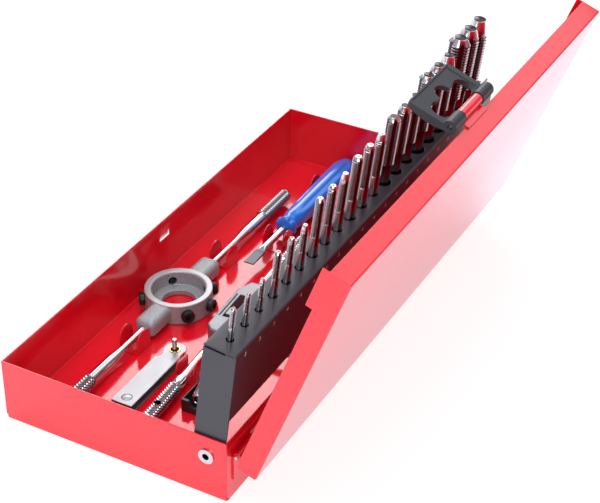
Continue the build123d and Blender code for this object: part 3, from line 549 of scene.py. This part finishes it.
def tap_outline(thread, pitch, shank, length, threaded, lead):
    """The turned outline of one tap, from its squared end to its tip."""
    start = length - threaded
    root = thread / 2 - thread_depth * pitch
    points = [(0, square_length * 0.6), (shank / 2, square_length * 0.6)]
    points += [(shank / 2, start - 0.5 * pitch)]
    teeth = int(threaded / pitch) - 1
    for tooth in range(teeth):
        foot = start + tooth * pitch
        points += [
            (root, foot),
            (root, foot + root_end * pitch),
            (thread / 2, foot + crest_start * pitch),
            (thread / 2, foot + crest_end * pitch),
        ]
    lead_start = length - lead
    trimmed = []
    for radius, height in points:
        slope = (height - lead_start) / lead
        limit = thread / 2 - max(0.0, slope) * tip_taper * thread
        trimmed.append((min(radius, limit), height))
    trimmed += [(thread * 0.3, length - 0.0002), (thread * 0.26, length), (0, length)]
    return trimmed


def fluted(piece, thread, pitch, flutes, foot, lead_start, lead, steps):
    """Presses straight flutes into a turned tap, which fade out towards its shank. The mesh
    keeps where its thread's roots and its flutes lie, for the finish to paint shade there."""
    reach, bend = flute_reach * thread, flute_round * thread
    sector = tau / flutes
    half = steps // flutes // 2
    groove = piece.data.attributes.new("groove", "FLOAT", "POINT")
    for vertex in piece.data.vertices:
        radius = hypot(vertex.co.x, vertex.co.y)
        crest = thread / 2 - max(0.0, vertex.co.z - lead_start) / lead * tip_taper * thread
        if vertex.co.z > foot and radius < crest - 0.25 * pitch:
            groove.data[vertex.index].value = 1.0
        if radius < weld_reach or vertex.co.z < foot - bend:
            continue
        # the turned piece's columns are spread, so that one lies on each edge of a flute
        turn = atan2(vertex.co.y, vertex.co.x) % tau
        place = round(turn / tau * steps)
        number, step = divmod(place, 2 * half)
        side = step - half
        share = abs(side) / half
        if share <= 0.5:
            away = flute_edge * share * 2
        else:
            away = flute_edge + (sector / 2 - flute_edge) * (share - 0.5) * 2
        away *= 1 if side > 0 else -1
        turn = number * sector + sector / 2 + away
        lift = max(0.0, foot + bend - vertex.co.z) ** 2 / bend * flute_run_out
        centre = reach + lift
        inside = bend ** 2 - (centre * sin(away)) ** 2
        if inside > 0 and abs(away) < tau / 4:
            pressed = centre * cos(away) - inside ** 0.5
            depth = min(1.0, max(0.0, radius - pressed) / (flute_full_shade * thread))
            groove.data[vertex.index].value = max(groove.data[vertex.index].value, depth)
            radius = min(radius, pressed)
        vertex.co.x = radius * cos(turn)
        vertex.co.y = radius * sin(turn)


def ground_steel():
    shader = Shader("ground_steel")
    lines = shader.noise(0.0002, detail=2.0)
    stain = shader.noise(0.006, detail=4.0)
    colour = shader.mix(stain, (0.86, 0.85, 0.86), (0.72, 0.71, 0.72))
    # painted shade in the thread's roots and the flutes, tinted with a painted reflection of the
    # red tray
    colour = shader.mix(shader.groove() * 0.95, colour, (0.045, 0.02, 0.025))
    return shader.surface(
        base_color=colour,
        metallic=1.0,
        roughness=0.15 + 0.08 * stain + 0.06 * lines,
        normal=shader.bump(lines, 0.000008),
    )


tap_finish = ground_steel()
for name, thread, pitch, shank, square, above, threaded, flutes in tap_sizes:
    length = rack_top - tap_foot + above
    flute_foot = length - threaded - foot_margin * thread
    steps = 12 * flutes
    low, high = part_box(name)
    trio = []
    for step, lead in zip((1, 0, -1), tip_leads):
        lead_length = lead * thread / 6 + lead_extra
        outline = tap_outline(thread, pitch, shank, length, threaded, lead_length)
        tap = turned("tap", outline, steps)
        fluted(tap, thread, pitch, flutes, flute_foot, length - lead_length, lead_length, steps)
        stub = block((square, square, square_length), (0, 0, square_length / 2))
        tap = joined("tap", [tap, stub])
        spot = Vector(((low.x + high.x) / 2 + step * tap_pitch, 0, tap_foot))
        tap.data.transform(rack_matrix @ Matrix.Translation(spot))
        trio.append(tap)
    taps = joined(name + "_cut", trio)
    dress(taps, tap_finish, shade=28)
    settle(taps, name, "tap_steel", name)

# ------------------------------------------------------------------ die stock
# The stock is a cast ring with a boss on each side, finished in a fine hammered grey. Its
# top rim is machined bright, and every cast corner is well rounded.
stock_place = Vector((0.025, -0.040, 0.0011))
ring_radius = 0.019
ring_bore = 0.015
ring_height = 0.012
ring_ledge = 0.0032
ledge_hole = 0.0095
boss_size = (0.072, 0.0125, 0.0106)
boss_round = 0.0034
mouth_depth = 0.0008
mouth_flare = 0.001
overshoot = 0.0002
rod_radius = 0.0021
rod_foot = 0.024
screw_hole_radius = 0.00255
screw_angles = (46.0, 93.0, 140.0, -53.0, -135.0)
casting_voxel = 0.00035
ring_middle = Vector((0, 0, ring_height / 2))


def sideways(centre, side):
    """Lays a piece that stands along Z on its side, pointing to +X or, for -1, to -X."""
    return Matrix.Translation(centre) @ Matrix.Rotation(radians(90 * side), 4, "Y")


def level_at(centre, angle):
    """Lays a piece that stands along Z level, pointing that many degrees from +X."""
    return (
        Matrix.Translation(centre)
        @ Matrix.Rotation(radians(angle), 4, "Z")
        @ Matrix.Rotation(radians(90), 4, "Y")
    )


def drum(radius, low, high, steps, top_radius=None):
    """A cylinder or a cone about Z, with its place in its mesh."""
    bare()
    bpy.ops.mesh.primitive_cone_add(
        vertices=steps,
        radius1=radius,
        radius2=radius if top_radius is None else top_radius,
        depth=high - low,
        location=(0, 0, (low + high) / 2),
    )
    bpy.ops.object.transform_apply()
    return bpy.context.object


def carve(piece, cutter, operation="DIFFERENCE"):
    """Cuts a piece with another, or welds them, and takes the cutter away. A piece that
    comes out with less than half of its faces has failed, and is put back as it was."""
    alone(piece)
    whole = piece.data.copy()
    change = piece.modifiers.new("carve", "BOOLEAN")
    change.operation = operation
    change.object = cutter
    change.solver = "MANIFOLD"
    bpy.context.view_layer.update()
    bpy.ops.object.modifier_apply(modifier="carve")
    if len(piece.data.polygons) < len(whole.polygons) // 2:
        piece.data = whole
    bpy.data.objects.remove(cutter, do_unlink=True)


stock = drum(ring_radius, 0, ring_height, 128)
boss = block(boss_size, ring_middle)
bpy.ops.object.mode_set(mode="EDIT")
bpy.ops.mesh.select_all(action="DESELECT")
bpy.ops.object.mode_set(mode="OBJECT")
for edge in boss.data.edges:
    first, last = (boss.data.vertices[number].co for number in edge.vertices)
    edge.select = abs(first.x - last.x) > boss_size[0] / 2
bpy.ops.object.mode_set(mode="EDIT")
bpy.ops.mesh.select_mode(type="EDGE")
bpy.ops.mesh.bevel(offset=boss_round, segments=6)
bpy.ops.mesh.select_mode(type="VERT")
bpy.ops.object.mode_set(mode="OBJECT")
carve(stock, boss, "UNION")
carve(stock, drum(ring_bore, ring_ledge, 2 * ring_height, 128))
mouth = (ring_height - mouth_depth, ring_height + overshoot)
carve(stock, drum(ring_bore, *mouth, 128, ring_bore + mouth_flare))
carve(stock, drum(ledge_hole, -0.001, 0.01, 96))
for side in (-1, 1):
    seat = drum(rod_radius, rod_foot, 0.040, 32)
    seat.data.transform(sideways(ring_middle, side))
    carve(stock, seat)
for angle in screw_angles:
    hole = drum(screw_hole_radius, 0.010, 0.025, 32)
    hole.data.transform(level_at(ring_middle, angle))
    carve(stock, hole)
alone(stock)
stock.name = "die_stock_casting"
stock.data.remesh_voxel_size = casting_voxel
bpy.ops.object.voxel_remesh()
smoothing = stock.modifiers.new("smoothing", "SMOOTH")
smoothing.factor = 0.5
smoothing.iterations = 5
bpy.ops.object.modifier_apply(modifier="smoothing")
stock.data.transform(Matrix.Translation(stock_place))


def hammered_grey():
    shader = Shader("hammered_grey")
    _, _, z = shader.axes()
    rim = z.above(stock_place.z + ring_height - 0.0004, 0.0003)
    cells = shader.node(
        "ShaderNodeTexVoronoi",
        {"feature": "SMOOTH_F1"},
        {"Vector": shader.place(), "Scale": 1200.0, "Smoothness": 0.6},
        output="Distance",
    )
    speck = shader.noise(0.0004, detail=3.0, roughness=0.7)
    cloud = shader.noise(0.008, detail=3.0)
    colour = shader.mix(cells, (0.24, 0.245, 0.265), (0.42, 0.43, 0.46))
    colour = shader.mix(speck.above(0.56, 0.1) * 0.5, colour, (0.60, 0.61, 0.64))
    colour = shader.mix(rim * 0.6, colour, (0.58, 0.58, 0.60))
    return shader.surface(
        base_color=colour,
        metallic=0.3,
        roughness=0.38 + 0.12 * cloud - 0.1 * rim,
        normal=shader.bump(cells + 0.3 * speck, 0.00011 - 0.00009 * rim),
    )


dress(stock, hammered_grey(), shade=60)
settle(stock, "die_stock", "cast_stock", "die_stock_body")

# ------------------------------------------------------------------ die stock's screws
# Five black socket screws hold the die. Their heads are rounded at the top and take a
# hexagon key.
socket_floor = 0.0202
socket_mouth = 0.0018
screw_outline = [
    (0, 0.0151), (0.0015, 0.0151), (0.0025, 0.0166), (0.0025, 0.01905), (0.0034, 0.01905),
    (0.0037, 0.01935), (0.0037, 0.0216), (0.0035, 0.0220), (0.0031, 0.02225), (0.0019, 0.02225),
    (0.0017, 0.0221), (0.0017, 0.0203), (0, socket_floor),
]
screws = []
for angle in screw_angles:
    screw = turned("screw", screw_outline, 48)
    for vertex in screw.data.vertices:
        # the socket's round wall is pressed to a hexagon
        if vertex.co.z > socket_floor and hypot(vertex.co.x, vertex.co.y) < socket_mouth:
            turn = atan2(vertex.co.y, vertex.co.x) % (tau / 6) - tau / 12
            flat = cos(tau / 12) / cos(turn)
            vertex.co.x *= flat
            vertex.co.y *= flat
    screw.data.transform(level_at(stock_place + ring_middle, angle))
    screws.append(screw)
stock_screws = joined("stock_screws", screws)


def black_oxide():
    shader = Shader("black_oxide")
    oil = shader.noise(0.002, detail=4.0)
    grain = shader.noise(0.0002, detail=2.0)
    colour = shader.mix(oil, (0.012, 0.012, 0.014), (0.035, 0.034, 0.038))
    return shader.surface(
        base_color=colour,
        metallic=0.6,
        roughness=0.28 + 0.15 * oil,
        normal=shader.bump(grain, 0.00001),
    )


dress(stock_screws, black_oxide(), shade=30)
settle(stock_screws, "die_stock", "black_screw", "die_stock_screws")

# ------------------------------------------------------------------ die stock's handles
# Each handle is a chromed rod that swells to a thicker neck, and ends in a grip with a
# coarse diamond knurl.
knurl_pitch = 0.0020
knurl_depth = 0.00055
knurl_fade = 0.0006                # at either end of the grip
knurl_rise = (0.0, 0.25, 0.5, 0.75, 1.0, 0.75, 0.5, 0.25)
knurl_step = knurl_pitch / len(knurl_rise)
grip_length = 0.031
grip_steps = 96


def knurled(piece, steps, start, end):
    """Raises diamonds on the part of a turned piece between two heights."""
    groove = piece.data.attributes.new("groove", "FLOAT", "POINT")
    for vertex in piece.data.vertices:
        radius = hypot(vertex.co.x, vertex.co.y)
        height = vertex.co.z
        if radius < 0.002 or not start - weld_reach < height < end + weld_reach:
            continue
        turn = round(atan2(vertex.co.y, vertex.co.x) % tau / tau * steps)
        row = round((height - start) / knurl_step)
        diamond = min(knurl_rise[(turn + way * row) % len(knurl_rise)] for way in (1, -1))
        fade = max(0.0, min(1.0, (height - start) / knurl_fade, (end - height) / knurl_fade))
        # the grooves between the diamonds take painted shade
        groove.data[vertex.index].value = (1.0 - diamond) ** 1.6 * fade
        scale = 1 + knurl_depth * (diamond - 0.75) * fade / radius
        vertex.co.x *= scale
        vertex.co.y *= scale


def grip_rows(start, end, radius):
    """The rows of a grip's outline, close enough for the knurl."""
    count = int((end - start) / knurl_step)
    return [(radius, start + row * knurl_step) for row in range(count + 1)]


def chromed(name, high, low, roughness, grooved=False):
    shader = Shader(name)
    haze = shader.noise(0.005, detail=4.0)
    lines = shader.noise(0.00025, detail=2.0)
    colour = shader.mix(haze, high, low)
    if grooved:
        # painted shade in a knurl's grooves and in a pressed cross hole
        colour = shader.mix(shader.groove() * 0.9, colour, (0.05, 0.045, 0.05))
    return shader.surface(
        base_color=colour,
        metallic=1.0,
        roughness=roughness + 0.07 * haze,
        normal=shader.bump(lines, 0.000004),
    )


chrome_colours = (0.80, 0.80, 0.82), (0.66, 0.66, 0.68)
chrome = chromed("chrome", *chrome_colours, 0.07)
knurled_chrome = chromed("knurled_chrome", *chrome_colours, 0.09, grooved=True)
for side, grip_start, name in (
    (1, 0.086, "die_stock_handle_near"),
    (-1, 0.093, "die_stock_handle_far"),
):
    grip_end = grip_start + grip_length
    knurl = (grip_start + 0.0005, grip_end - 0.001)
    outline = [
        (0, rod_foot), (rod_radius, rod_foot), (rod_radius, grip_start - 0.030),
        (0.00235, grip_start - 0.027),
        (0.0029, grip_start - 0.021), (0.0032, grip_start - 0.018), (0.0032, grip_start),
        (0.0036, grip_start + 0.0001),
    ]
    outline += grip_rows(*knurl, 0.0039)
    outline += [(0.0036, grip_end - 0.0004), (0.0029, grip_end), (0, grip_end)]
    handle = turned(name + "_rod", outline, grip_steps)
    knurled(handle, grip_steps, *knurl)
    handle.data.transform(sideways(stock_place + ring_middle, side))
    dress(handle, knurled_chrome, shade=35)
    settle(handle, "die_stock", "stock_rod", name)

# ------------------------------------------------------------------ screwdriver
# A clear blue acetate handle with a lobed collar and six shallow flutes, on a bright steel
# blade that is forged flat at its tip.
driver_place = Vector((-0.062, -0.0206, 0.0093))
handle_length = 0.0852
collar_top = 0.0055
collar_lobe = 0.0007
handle_flute = 0.0009
handle_points = [
    (0.0052, 0.0058), (0.0054, 0.0075), (0.0059, 0.010), (0.0063, 0.014), (0.0066, 0.022),
    (0.0069, 0.040), (0.0071, 0.055), (0.0074, 0.069), (0.0073, 0.074), (0.0068, 0.078),
    (0.0058, 0.0815), (0.0042, 0.084), (0.0022, 0.085), (0, handle_length),
]


def flowing(points, parts=6):
    """A smooth outline through its points."""
    curve = []
    for number in range(len(points) - 1):
        before = points[max(number - 1, 0)]
        first, last = points[number], points[number + 1]
        after = points[min(number + 2, len(points) - 1)]
        for part in range(parts):
            t = part / parts
            curve.append(tuple(
                0.5 * (2 * b + (c - a) * t + (2 * a - 5 * b + 4 * c - d) * t * t
                       + (3 * b - a - 3 * c + d) * t ** 3)
                for a, b, c, d in zip(before, first, last, after)
            ))
    return curve + [points[-1]]


collar = [
    (0, 0), (0.0054, 0), (0.0062, 0.0005), (0.0067, 0.0014), (0.0068, 0.0026), (0.0066, 0.0038),
    (0.0060, 0.0046), (0.0052, 0.0052),
]
driver_handle = turned("driver_handle", collar + flowing(handle_points), 96)
for vertex in driver_handle.data.vertices:
    turn = atan2(vertex.co.y, vertex.co.x)
    height = vertex.co.z
    lobe = 0.5 - 0.5 * cos(6 * turn)
    if height < collar_top:
        pressed = collar_lobe * lobe ** 2
    else:
        # the flutes fade out towards the collar and towards the rounded end
        fade = min(1.0, max(0.0, (height - 0.012) / 0.010), max(0.0, (0.081 - height) / 0.008))
        pressed = handle_flute * fade * lobe ** 2
    radius = hypot(vertex.co.x, vertex.co.y)
    if radius > 0.003:
        vertex.co.x *= 1 - pressed / radius
        vertex.co.y *= 1 - pressed / radius
driver_handle.data.transform(sideways(driver_place, -1))


def blue_acetate():
    shader = Shader("blue_acetate")
    depth = shader.noise(0.012, detail=2.0)
    flow = shader.noise(0.0015, detail=2.0)
    colour = shader.mix(depth, (0.002, 0.150, 0.74), (0.006, 0.22, 0.88))
    return shader.surface(
        base_color=colour,
        roughness=0.13 + 0.06 * depth,
        coat_weight=0.9,
        coat_roughness=0.05,
        normal=shader.bump(flow, 0.00003),
    )


dress(driver_handle, blue_acetate(), shade=50)
settle(driver_handle, "screwdriver", "blue_plastic", "screwdriver_handle")

blade_radius = 0.0022
blade_foot = -0.024
blade_root = 0.024
blade_reach = 0.0425
blade_flat = blade_reach - blade_root
blade_outline = [(0, blade_foot), (blade_radius, blade_foot)]
blade_outline += [(blade_radius, blade_root * step / 6) for step in range(6)]
blade_outline += [(blade_radius, blade_root + blade_flat * step / 24) for step in range(25)]
blade_outline += [(0, blade_reach)]
blade = turned("driver_blade", blade_outline, 48)
for vertex in blade.data.vertices:
    share = (vertex.co.z - blade_root) / blade_flat
    radius = hypot(vertex.co.x, vertex.co.y)
    if share <= 0 or radius < weld_reach:
        continue
    # the round shank goes over into a wide, thin and nearly square section
    flat = min(1.0, share / 0.42)
    flat = flat * flat * (3 - 2 * flat)
    half_wide = blade_radius + 0.0009 * flat
    half_thick = blade_radius - 0.0014 * flat - 0.0004 * max(0.0, share - 0.4) / 0.6
    power = 1.0 - 0.78 * flat
    thick, wide = vertex.co.x / radius, vertex.co.y / radius
    vertex.co.x = half_thick * abs(thick) ** power * (1 if thick > 0 else -1)
    vertex.co.y = half_wide * abs(wide) ** power * (1 if wide > 0 else -1)
blade.data.transform(sideways(driver_place, 1))


def blade_steel():
    """Bright on the shank and dull grey where the tip is ground flat."""
    shader = Shader("blade_steel")
    x, _, _ = shader.axes()
    ground_flat = x.above(driver_place.x + blade_root + 0.004, 0.004)
    haze = shader.noise(0.004, detail=4.0)
    lines = shader.noise(0.0003, detail=3.0)
    colour = shader.mix(haze, (0.78, 0.78, 0.80), (0.62, 0.62, 0.64))
    colour = shader.mix(ground_flat, colour, (0.17, 0.17, 0.185))
    return shader.surface(
        base_color=colour,
        metallic=1.0,
        roughness=0.10 + 0.05 * haze + 0.34 * ground_flat,
        normal=shader.bump(lines, 0.000012),
    )


dress(blade, blade_steel(), shade=30)
settle(blade, "screwdriver", "blade_steel", "screwdriver_blade")

# ------------------------------------------------------------------ thread gauge
# A folded nickel-plated case, brushed along its length, holding two fans of thin steel
# leaves. The far fan turns on a brass eyelet, and the near one on a flush rivet.


def brushed(name, high, low, roughness, stretch=14.0):
    shader = Shader(name)
    stretched = shader.node(
        "ShaderNodeMapping", {}, {"Vector": shader.place(), "Scale": (1.0 / stretch, 1.0, 1.0)}
    )
    lines = shader.noise(0.00035, detail=4.0, place=stretched)
    cloud = shader.noise(0.01, detail=4.0)
    colour = shader.mix(0.5 * lines + 0.5 * cloud, high, low)
    return shader.surface(
        base_color=colour,
        metallic=1.0,
        roughness=roughness + 0.10 * cloud + 0.12 * lines,
        normal=shader.bump(lines, 0.000012),
    )


gauge_finish = brushed("nickel_plate", (0.50, 0.50, 0.51), (0.36, 0.36, 0.37), 0.30)
finished("gauge_case", gauge_finish, "thread_gauge", "gauge_shell", 0.0003, 3)
eyelets = softened("gauge_eyelets", 0.00014, 3)
eyelet_split = 0.09
near_pivot = (0.1133, -0.0162, 0.0011)
rivet_outline = [(0, 0), (0.0026, 0), (0.0026, 0.0053), (0.0023, 0.00545), (0, 0.0055)]
# the solid has an eyelet at each end, of which the near one gives way to the rivet
alone(eyelets)
bpy.ops.object.mode_set(mode="EDIT")
bpy.ops.mesh.select_all(action="DESELECT")
bpy.ops.object.mode_set(mode="OBJECT")
for vertex in eyelets.data.vertices:
    vertex.select = vertex.co.x > eyelet_split
bpy.ops.object.mode_set(mode="EDIT")
bpy.ops.mesh.delete(type="VERT")
bpy.ops.object.mode_set(mode="OBJECT")
near_rivet = turned("near_rivet", rivet_outline, 48)
near_rivet.data.transform(Matrix.Translation(near_pivot))
dress(near_rivet, gauge_finish, shade=40)
settle(near_rivet, "thread_gauge", "gauge_shell")
dress(eyelets, chromed("brass", (0.78, 0.55, 0.22), (0.58, 0.38, 0.13), 0.16))
settle(eyelets, "thread_gauge", "eyelet_brass", "gauge_eyelets")
leaf_finish = brushed("leaf_steel", (0.20, 0.20, 0.21), (0.12, 0.12, 0.13), 0.34)
for name in ("gauge_leaves_far", "gauge_leaves_near"):
    dress(nodes[name], leaf_finish)

# ------------------------------------------------------------------ tap wrench
# A forged body with a sliding jaw, satin chromed, with an engraved line beside the jaw. Its
# turning handle has a knurled grip with a cross hole, and its fixed handle is knurled too.
wrench_place = (0.022, -0.0034, 0.0059)
wrench_turn = radians(3.2)
wrench_matrix = Matrix.Translation(wrench_place) @ Matrix.Rotation(wrench_turn, 4, "Z")
wrench_finish = brushed("satin_chrome", (0.44, 0.44, 0.46), (0.30, 0.30, 0.32), 0.42, 3.0)
finished("tap_wrench_body", wrench_finish, "tap_wrench", "wrench_steel", 0.0005, 3)
finished("tap_wrench_jaw", wrench_finish, "wrench_jaw", "wrench_steel", 0.0003)
near_knurl = (0.0722, 0.101)
far_knurl = (0.0565, 0.081)
cross_hole_at = 0.0905
cross_hole_radius = 0.00175
cross_hole_web = 0.15              # of the handle's thickness
near_outline = [
    (0, 0.0086), (0.0024, 0.0086), (0.0024, 0.036), (0.0027, 0.058), (0.0030, 0.062),
    (0.0033, 0.068), (0.0033, 0.0712), (0.0036, 0.0717),
]
near_outline += grip_rows(*near_knurl, 0.0039) + [(0.0036, 0.1016), (0.0029, 0.102), (0, 0.102)]
far_outline = [(0, 0.012), (0.00248, 0.012), (0.00248, 0.054), (0.0031, 0.056)]
far_outline += grip_rows(*far_knurl, 0.0034) + [(0.0031, 0.0816), (0.0024, 0.082), (0, 0.082)]
for side, outline, steps, knurl, body, name in (
    (1, near_outline, 96, near_knurl, "wrench_handle", "tap_wrench_handle"),
    (-1, far_outline, 80, far_knurl, "tap_wrench", "tap_wrench_rod"),
):
    handle = turned(name + "_grip", outline, steps)
    knurled(handle, steps, *knurl)
    handle.data.transform(sideways((0, 0, 0), side))
    if side > 0:
        # the cross hole is pressed in from both sides, and a thin web is left in the middle;
        # the hole takes full painted shade
        groove = handle.data.attributes["groove"]
        for vertex in handle.data.vertices:
            aside = hypot(vertex.co.x - cross_hole_at, vertex.co.y)
            if aside < cross_hole_radius and abs(vertex.co.z) > 0.001:
                vertex.co.z *= cross_hole_web
                groove.data[vertex.index].value = 1.0
    handle.data.transform(wrench_matrix)
    dress(handle, knurled_chrome, shade=35)
    settle(handle, body, "wrench_steel", name)

# ------------------------------------------------------------------ tap chuck and its holder
# A chromed chuck with a stepped collar lies in a black moulded cradle under the rack. A bar
# with a knob slides through its tail.
chuck_place = Vector((0.100, 0.0176, 0.0084))
chuck_outline = [
    (0, 0.009), (0.0017, 0.009), (0.0019, 0.0088), (0.0019, 0.0003), (0.0022, 0.0), (0.0029, 0.0),
    (0.0032, 0.0003), (0.0064, 0.0139), (0.0066, 0.0145), (0.0060, 0.0147), (0.0057, 0.0150),
    (0.0057, 0.0162), (0.0060, 0.0166), (0.0065, 0.0168), (0.0066, 0.0171), (0.0066, 0.0186),
    (0.0065, 0.0189), (0.0060, 0.0191), (0.0057, 0.0195), (0.0057, 0.0208), (0.0059, 0.0211),
    (0.0060, 0.0214), (0.0060, 0.0641), (0.0057, 0.0647), (0.0050, 0.0651), (0, 0.0651),
]
chuck = turned("chuck_turned", chuck_outline, 64)
chuck.data.transform(sideways(chuck_place, -1))
dress(chuck, chrome, shade=35)
settle(chuck, "chuck", "chuck_chrome", "tap_chuck")
dress(nodes["chuck_bar"], chrome, shade=30)


def moulded(name, high, low, roughness, grain_depth):
    shader = Shader(name)
    grain = shader.noise(0.00035, detail=3.0, roughness=0.6)
    cloud = shader.noise(0.012, detail=3.0)
    colour = shader.mix(cloud, high, low)
    return shader.surface(
        base_color=colour,
        roughness=roughness + 0.1 * cloud,
        normal=shader.bump(grain, grain_depth),
    )


black_plastic = moulded(
    "black_plastic", (0.010, 0.010, 0.012), (0.018, 0.018, 0.021), 0.22, 0.00001
)
finished("chuck_holder", black_plastic, "tray", "holder_plastic", 0.0004, 3)

# ------------------------------------------------------------------ latch
# The flap is moulded in a dark grey nylon with a fine grain, and turns on a steel pin. A
# short steel bar stands out of its far arm.
grained_nylon = moulded(
    "grained_nylon", (0.022, 0.025, 0.031), (0.033, 0.037, 0.045), 0.34, 0.00003
)
finished("latch_flap", grained_nylon, "latch", "latch_plastic", 0.00022)
for name in ("latch_pin", "latch_bar"):
    dress(nodes[name], zinc, shade=30)
